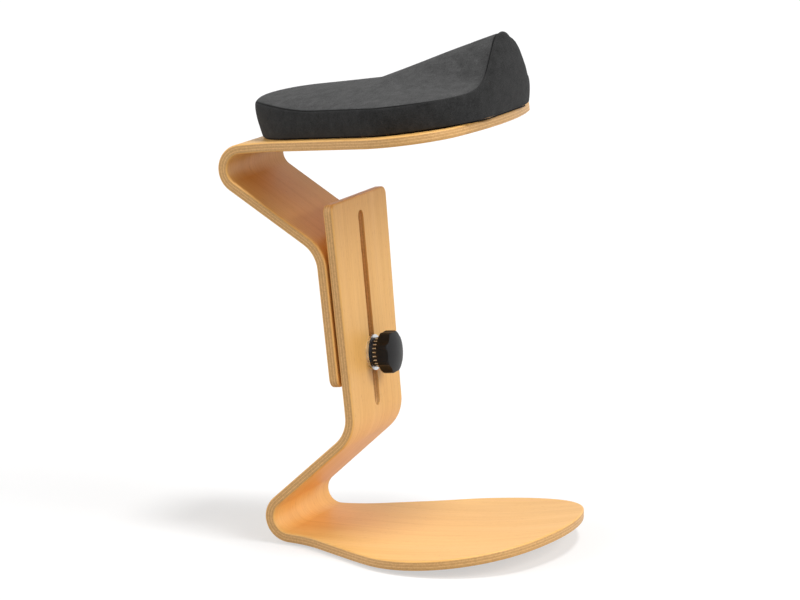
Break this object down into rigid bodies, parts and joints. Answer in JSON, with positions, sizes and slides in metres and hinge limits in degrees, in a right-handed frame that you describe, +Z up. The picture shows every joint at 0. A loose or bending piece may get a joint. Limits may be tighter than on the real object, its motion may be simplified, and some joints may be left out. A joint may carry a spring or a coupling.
{
  "type": "balance stool",
  "caption": "Springy moulded-plywood balance stool with a curved rocker foot, a slotted upright with a clamp knob for seat height, and a felt-covered saddle cushion with a raised front horn.",
  "frame": {"origin": "on the floor, under the middle of the overall box", "axes": "+X from the bends towards the free ends of the foot and seat plates, +Y to the left, +Z up"},
  "size_m": [0.4288, 0.352, 0.6346],
  "materials": {
    "plywood": "clear satin lacquer on light beech veneer",
    "board": "raw plywood",
    "foam": "open-cell foam",
    "felt_top": "charcoal wool felt",
    "felt_band": "charcoal wool felt",
    "lining": "thin black lining cloth",
    "glide_felt": "moulded glide",
    "guide_plastic": "moulded black",
    "knob_plastic": "moulded black, fine grain",
    "hub_steel": "dark knurled steel",
    "zinc": "bright zinc plate"
  },
  "bodies": {
    "foot": {"foot_shell": "plywood", "glide_rear_left": "glide_felt", "glide_rear_right": "glide_felt", "glide_front_left": "glide_felt", "glide_front_right": "glide_felt", "glide_screws": "zinc"},
    "seat": {"seat_shell": "plywood", "seat_board": "board", "seat_foam": "foam", "cover_top": "felt_top", "cover_band": "felt_band", "dust_cover": "lining", "tee_nuts": "zinc", "seat_screws": "zinc", "seat_screw_washers": "zinc", "clamp_bolt": "zinc", "slide_guide": "guide_plastic", "guide_screws": "zinc"},
    "washer": {"clamp_washer": "zinc"},
    "knob": {"knob_hub": "hub_steel", "knob_body": "knob_plastic"}
  },
  "joints": [
    {"name": "height_slide", "type": "slide", "parent": "foot", "child": "seat", "axis": [-0.0958, 0, 0.9954], "range_m": [-0.045, 0.16]},
    {"name": "washer_slide", "type": "slide", "parent": "seat", "child": "washer", "axis": [0.9954, 0, 0.0958], "range_m": [0, 0.006]},
    {"name": "knob_turn", "type": "hinge", "parent": "washer", "child": "knob", "pos_m": [-0.04612, 0, 0.23083], "axis": [0.9954, 0, 0.0958], "range_deg": [0, 1440]}
  ],
  "couplings": [
    {"joint": "knob_turn", "follows": "washer_slide", "rad_per_m": 4188.8}
  ]
}
